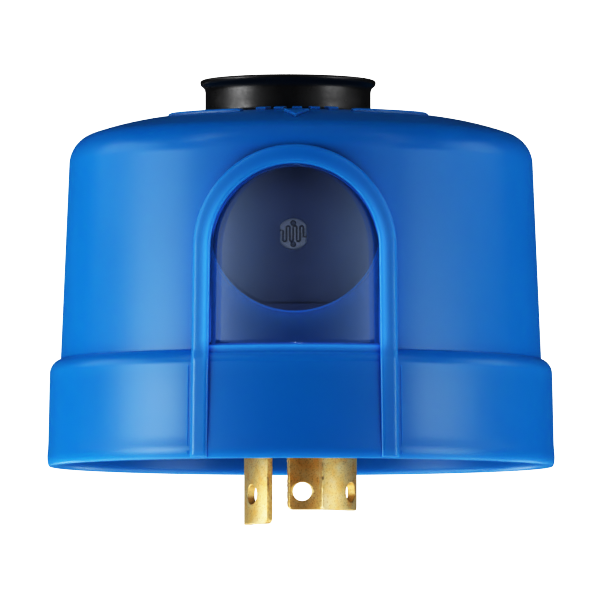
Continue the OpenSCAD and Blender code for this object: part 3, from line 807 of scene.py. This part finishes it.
def graded(name, side, inner, outer, low, high, levels, distance=0.9):
    """Screen beside the camera whose brightness rises smoothly from its inner edge to its outer one."""
    mid, el = math.radians((inner + outer) / 2), math.radians((low + high) / 2)
    wide = 2 * distance * math.tan(math.radians((outer - inner) / 2))
    tall = 2 * distance * math.tan(math.radians((high - low) / 2))
    d = (side * math.sin(mid) * math.cos(el), -math.cos(mid) * math.cos(el), math.sin(el))
    light = area_light(name, d, distance, wide, tall, 1.0).data
    light.use_nodes = True
    nt = light.node_tree
    em = next(n for n in nt.nodes if n.type == "EMISSION")
    sep = node(nt, "ShaderNodeSeparateXYZ")
    nt.links.new(node(nt, "ShaderNodeNewGeometry").outputs["Position"], sep.inputs["Vector"])
    centre = d[0] * distance
    across = wide * math.cos(mid) / 2
    t = span(nt, sep.outputs["X"], 0.0, 1.0, centre - side * across, centre + side * across)
    nt.links.new(ramp(nt, t, [(i / (len(levels) - 1), (v, v, v)) for i, v in enumerate(levels)], "B_SPLINE"), em.inputs["Strength"])


scrim("left", -1, [(57, 7.7), (68, 8.2), (79, 5.0), (90, 1.2)], -5, 6, every=11.0)
scrim("left_low", -1, [(57, 2.2), (68, 2.2), (79, 1.2)], -14, -5, every=11.0)
scrim("right", 1, [(57, 4.8), (68, 4.0), (79, 2.5), (90, 0.4)], -5, 6, every=11.0)
scrim("right_low", 1, [(57, 2.8), (68, 2.6), (79, 1.6)], -14, -5, every=11.0)
scrim("left_back", -1, [(79, 1.3), (90, 1.4), (101, 1.1), (112, 1.2)], 8, 32, every=11.0)
scrim("right_back", 1, [(79, 0.3), (90, 1.2), (101, 1.2), (112, 0.8)], 8, 32, every=11.0)
scrim("left_high", -1, [(57, 2.3)], 30, 58, every=11.0)
scrim("right_high", 1, [(57, 1.3)], 30, 58, every=11.0)
scrim("left_under", -1, [(140, 2.2)], -36, -14, every=30.0)
scrim("right_under", 1, [(135, 1.6)], -36, -14, every=30.0)
graded("left_front", -1, 3.0, 47.0, 2, 34, [0.0, 0.05, 0.15, 0.32, 0.6, 1.2])
graded("right_front", 1, 3.0, 47.0, 2, 34, [0.0, 0.05, 0.15, 0.31, 0.58, 1.2])
area_light("under_left", (-0.97, -0.05, -1), 0.5, 0.4, 0.4, 2.1)
area_light("under_right", (0.97, -0.05, -1), 0.5, 0.4, 0.4, 1.35)
area_light("under_back", (0, 0.8, -1), 0.5, 0.4, 0.4, 0.4)
area_light("top", (0, -0.3, 1), 0.6, 0.6, 0.6, 0.12)
floor_light = area_light("floor_light", (0, 0, -1), 2.2, 2.2, 2.2, 1.3)
floor_light.rotation_euler = (0, 0, 0)

# narrow soft lamp that reaches the sensor through the window
lamp = bpy.data.lights.new("into_window", "SPOT")
lamp.energy, lamp.spot_size, lamp.spot_blend, lamp.shadow_soft_size = 9.0, math.radians(1.6), 0.6, 0.004
lamp_ob = bpy.data.objects.new("into_window", lamp)
scene.collection.objects.link(lamp_ob)
lamp_ob.location = (0.0, -0.95, -0.06)
lamp_ob.rotation_euler = (Vector((-0.0005, -0.028, 0.0288)) - lamp_ob.location).to_track_quat("-Z", "Y").to_euler()

cam = bpy.data.cameras.new("camera")
cam_ob = bpy.data.objects.new("camera", cam)
scene.collection.objects.link(cam_ob)
scene.camera = cam_ob
D, AZ, BELOW, F = 1.364, math.radians(1.55), 0.048, 8252.0
cam_ob.location = (D * math.sin(AZ), -D * math.cos(AZ), -BELOW - DROP * 0.001)
fwd = Vector((-math.sin(AZ), math.cos(AZ), 0.0))
right = Vector((math.cos(AZ), math.sin(AZ), 0.0))
tilt = (757.3 - 300.0) / F
look = (fwd + Vector((0, 0, 1)) * tilt + right * (-1.0 / F)).normalized()
cam_ob.rotation_euler = look.to_track_quat("-Z", "Y").to_euler()
cam.sensor_width = 36.0
cam.lens = F * math.sqrt(1 + tilt * tilt) * 36.0 / 600.0
cam.clip_start, cam.clip_end = 0.05, 30.0

scene.view_settings.view_transform = "Standard"
scene.view_settings.look = "None"
# the contrast of a print: soft toe, straight middle, rolled-off highlights
scene.view_settings.use_curve_mapping = True
cm = scene.view_settings.curve_mapping
cm.white_level = (2.0, 2.0, 2.0)
tone = cm.curves[3]
for x, y in [(0.025, 0.021), (0.05, 0.056), (0.1, 0.152), (0.15, 0.275), (0.2, 0.4), (0.3, 0.592), (0.4, 0.755), (0.5, 0.86), (0.65, 0.94), (0.8, 0.978)]:
    tone.points.new(x, y)
cm.update()
